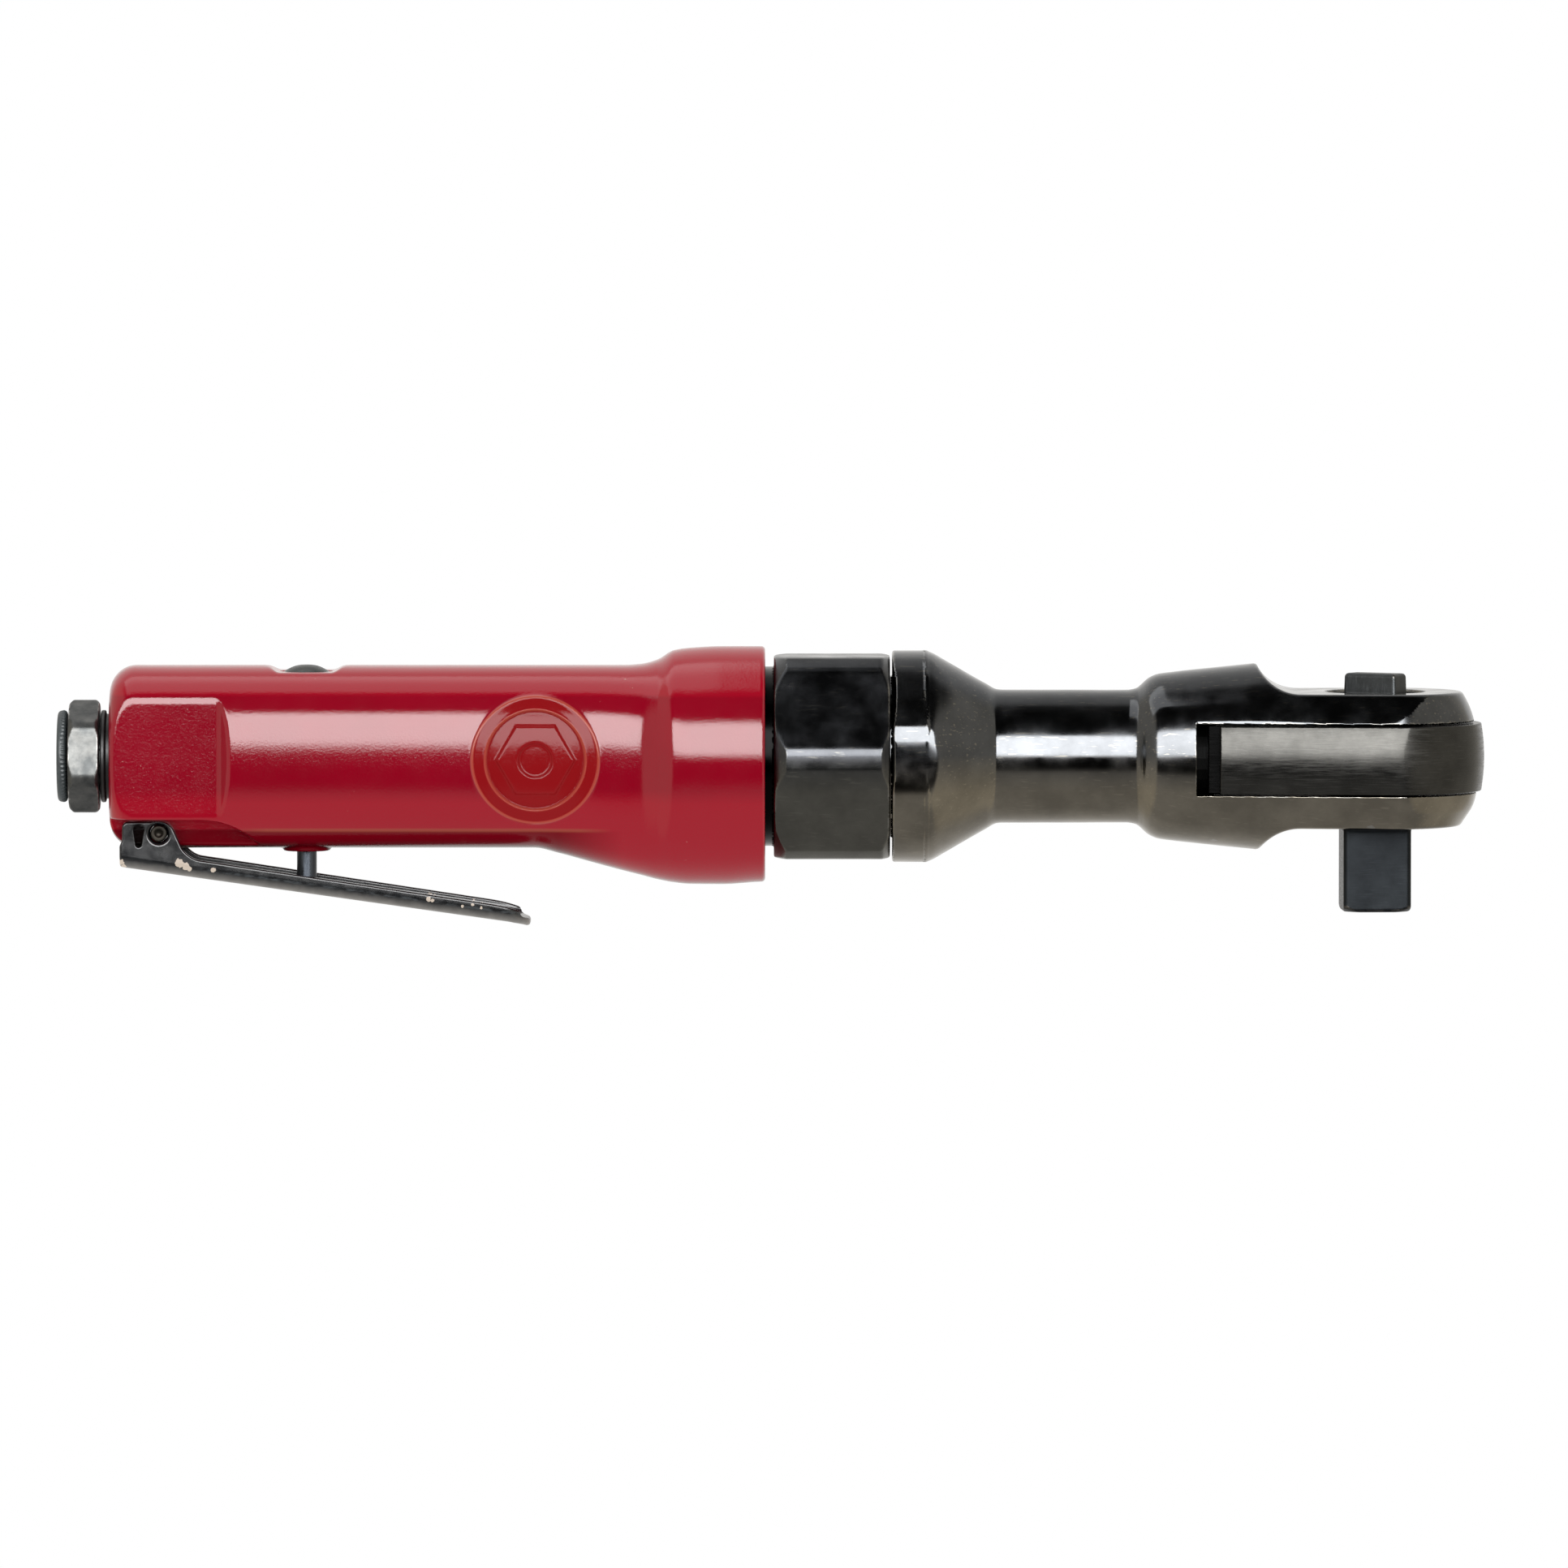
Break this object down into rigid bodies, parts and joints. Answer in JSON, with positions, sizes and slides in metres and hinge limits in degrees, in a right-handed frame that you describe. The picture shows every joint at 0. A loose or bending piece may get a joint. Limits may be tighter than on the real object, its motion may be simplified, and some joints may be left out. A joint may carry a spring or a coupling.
{
  "type": "air ratchet",
  "caption": "Pneumatic ratchet wrench with an inline lever handle, hex coupling, forked head, reversing knob and square drive.",
  "frame": {"origin": "centre of the drive square's end face", "axes": "+X from the handle towards the head along the tool, +Z from the drive square towards the reversing knob"},
  "size_m": [0.2656, 0.0412, 0.052],
  "materials": {
    "red_paint": "satin gloss powder paint with fine orange peel",
    "black_oxide": "black oxide, satin, oiled",
    "black_paint": "black paint, chipped at the edges",
    "plated_steel": "dull zinc plate, worn",
    "ground_steel": "ground or machined",
    "grey_plastic": "matt moulded",
    "rubber": "matt",
    "brass": "machined",
    "bronze": "sintered, oiled",
    "cast_iron": "machined",
    "phenolic": "fabric-filled phenolic, matt"
  },
  "bodies": {
    "housing": {"motor_housing": "red_paint", "inlet_bushing": "plated_steel", "exhaust_deflector": "rubber", "inlet_screen": "brass", "lever_pin": "ground_steel", "valve_seat": "brass", "stem_bushing": "brass", "stem_oring": "rubber", "valve_cap": "black_paint", "valve_cap_oring": "rubber", "valve_spring": "ground_steel", "cylinder_liner": "ground_steel", "rear_end_plate": "cast_iron", "front_end_plate": "cast_iron", "cylinder_dowel": "ground_steel", "rear_bearing_outer_race": "ground_steel", "front_bearing_outer_race": "ground_steel", "hex_coupling": "black_oxide", "ring_gear": "ground_steel", "gear_spacer": "ground_steel", "rear_crank_bushing": "bronze", "front_crank_bushing": "bronze", "ratchet_housing": "black_oxide", "anvil_retaining_ring": "black_oxide"},
    "plug": {"inlet_plug": "grey_plastic"},
    "lever": {"throttle_lever": "black_paint"},
    "valve": {"valve_stem": "plated_steel", "throttle_valve": "brass"},
    "rotor": {"rotor": "ground_steel", "vane_1": "phenolic", "vane_2": "phenolic", "vane_3": "phenolic", "vane_4": "phenolic", "vane_5": "phenolic", "rear_bearing_inner_race": "ground_steel", "front_bearing_inner_race": "ground_steel"},
    "rear_balls": {"rear_bearing_ball_cage": "brass"},
    "front_balls": {"front_bearing_ball_cage": "brass"},
    "crank": {"crankshaft": "ground_steel", "planet_pin_1": "ground_steel", "planet_pin_2": "ground_steel", "planet_pin_3": "ground_steel"},
    "planet_1": {"planet_gear_1": "ground_steel"},
    "planet_2": {"planet_gear_2": "ground_steel"},
    "planet_3": {"planet_gear_3": "ground_steel"},
    "bushing": {"drive_bushing": "ground_steel"},
    "yoke": {"ratchet_yoke": "ground_steel"},
    "anvil": {"anvil": "black_oxide", "pawl_pin": "ground_steel", "socket_ball_spring": "ground_steel"},
    "pawl": {"pawl": "ground_steel"},
    "knob": {"reverse_knob": "black_oxide", "pawl_plunger": "ground_steel"},
    "socket_ball": {"socket_ball": "ground_steel"}
  },
  "joints": [
    {"name": "lever_press", "type": "hinge", "parent": "housing", "child": "lever", "pos_m": [-0.2263, 0, 0.0148], "axis": [0, -1, 0], "range_deg": [0, 8], "stiffness_Nm_per_rad": 0.4, "springref_deg": -5.73},
    {"name": "valve_lift", "type": "slide", "parent": "housing", "child": "valve", "axis": [0, 0, 1], "range_m": [0, 0.004], "deforming": ["valve_spring"]},
    {"name": "plug_pull", "type": "slide", "parent": "housing", "child": "plug", "axis": [-1, 0, 0], "range_m": [0, 0.025]},
    {"name": "rotor_spin", "type": "hinge", "parent": "housing", "child": "rotor", "pos_m": [-0.155, 0, 0.0288], "axis": [1, 0, 0], "continuous": true},
    {"name": "rear_balls_spin", "type": "hinge", "parent": "housing", "child": "rear_balls", "pos_m": [-0.1764, 0, 0.0288], "axis": [1, 0, 0], "continuous": true},
    {"name": "front_balls_spin", "type": "hinge", "parent": "housing", "child": "front_balls", "pos_m": [-0.1305, 0, 0.0288], "axis": [1, 0, 0], "continuous": true},
    {"name": "crank_spin", "type": "hinge", "parent": "housing", "child": "crank", "pos_m": [-0.07, 0, 0.0288], "axis": [1, 0, 0], "continuous": true},
    {"name": "planet_1_spin", "type": "hinge", "parent": "crank", "child": "planet_1", "pos_m": [-0.1225, 0, 0.0372], "axis": [1, 0, 0], "continuous": true},
    {"name": "planet_2_spin", "type": "hinge", "parent": "crank", "child": "planet_2", "pos_m": [-0.1225, -0.00727, 0.0246], "axis": [1, 0, 0], "continuous": true},
    {"name": "planet_3_spin", "type": "hinge", "parent": "crank", "child": "planet_3", "pos_m": [-0.1225, 0.00727, 0.0246], "axis": [1, 0, 0], "continuous": true},
    {"name": "bushing_spin", "type": "hinge", "parent": "crank", "child": "bushing", "pos_m": [-0.025, 0, 0.0305], "axis": [1, 0, 0], "continuous": true},
    {"name": "yoke_swing", "type": "hinge", "parent": "housing", "child": "yoke", "pos_m": [0, 0, 0.0288], "axis": [0, 0, -1], "range_deg": [-3.75, 3.75]},
    {"name": "anvil_spin", "type": "hinge", "parent": "yoke", "child": "anvil", "pos_m": [0, 0, 0.0288], "axis": [0, 0, 1], "continuous": true},
    {"name": "knob_turn", "type": "hinge", "parent": "anvil", "child": "knob", "pos_m": [0, 0, 0.0418], "axis": [0, 0, 1], "range_deg": [0, 60]},
    {"name": "pawl_tilt", "type": "hinge", "parent": "anvil", "child": "pawl", "pos_m": [-0.0062, 0, 0.0288], "axis": [0, 0, 1], "range_deg": [-16, 0]},
    {"name": "socket_ball_press", "type": "slide", "parent": "anvil", "child": "socket_ball", "axis": [0, -1, 0], "range_m": [0, 0.0006], "stiffness_N_per_m": 500, "springref_m": -0.0005, "deforming": ["socket_ball_spring"]}
  ],
  "couplings": [
    {"joint": "valve_lift", "follows": "lever_press", "m_per_rad": 0.0283},
    {"joint": "rotor_spin", "follows": "crank_spin", "ratio": 4},
    {"joint": "rear_balls_spin", "follows": "crank_spin", "ratio": 1.615},
    {"joint": "front_balls_spin", "follows": "crank_spin", "ratio": 1.706},
    {"joint": "planet_1_spin", "follows": "crank_spin", "ratio": -3},
    {"joint": "planet_2_spin", "follows": "crank_spin", "ratio": -3},
    {"joint": "planet_3_spin", "follows": "crank_spin", "ratio": -3},
    {"joint": "bushing_spin", "follows": "crank_spin", "ratio": -1},
    {"joint": "pawl_tilt", "follows": "knob_turn", "ratio": -0.2666}
  ]
}
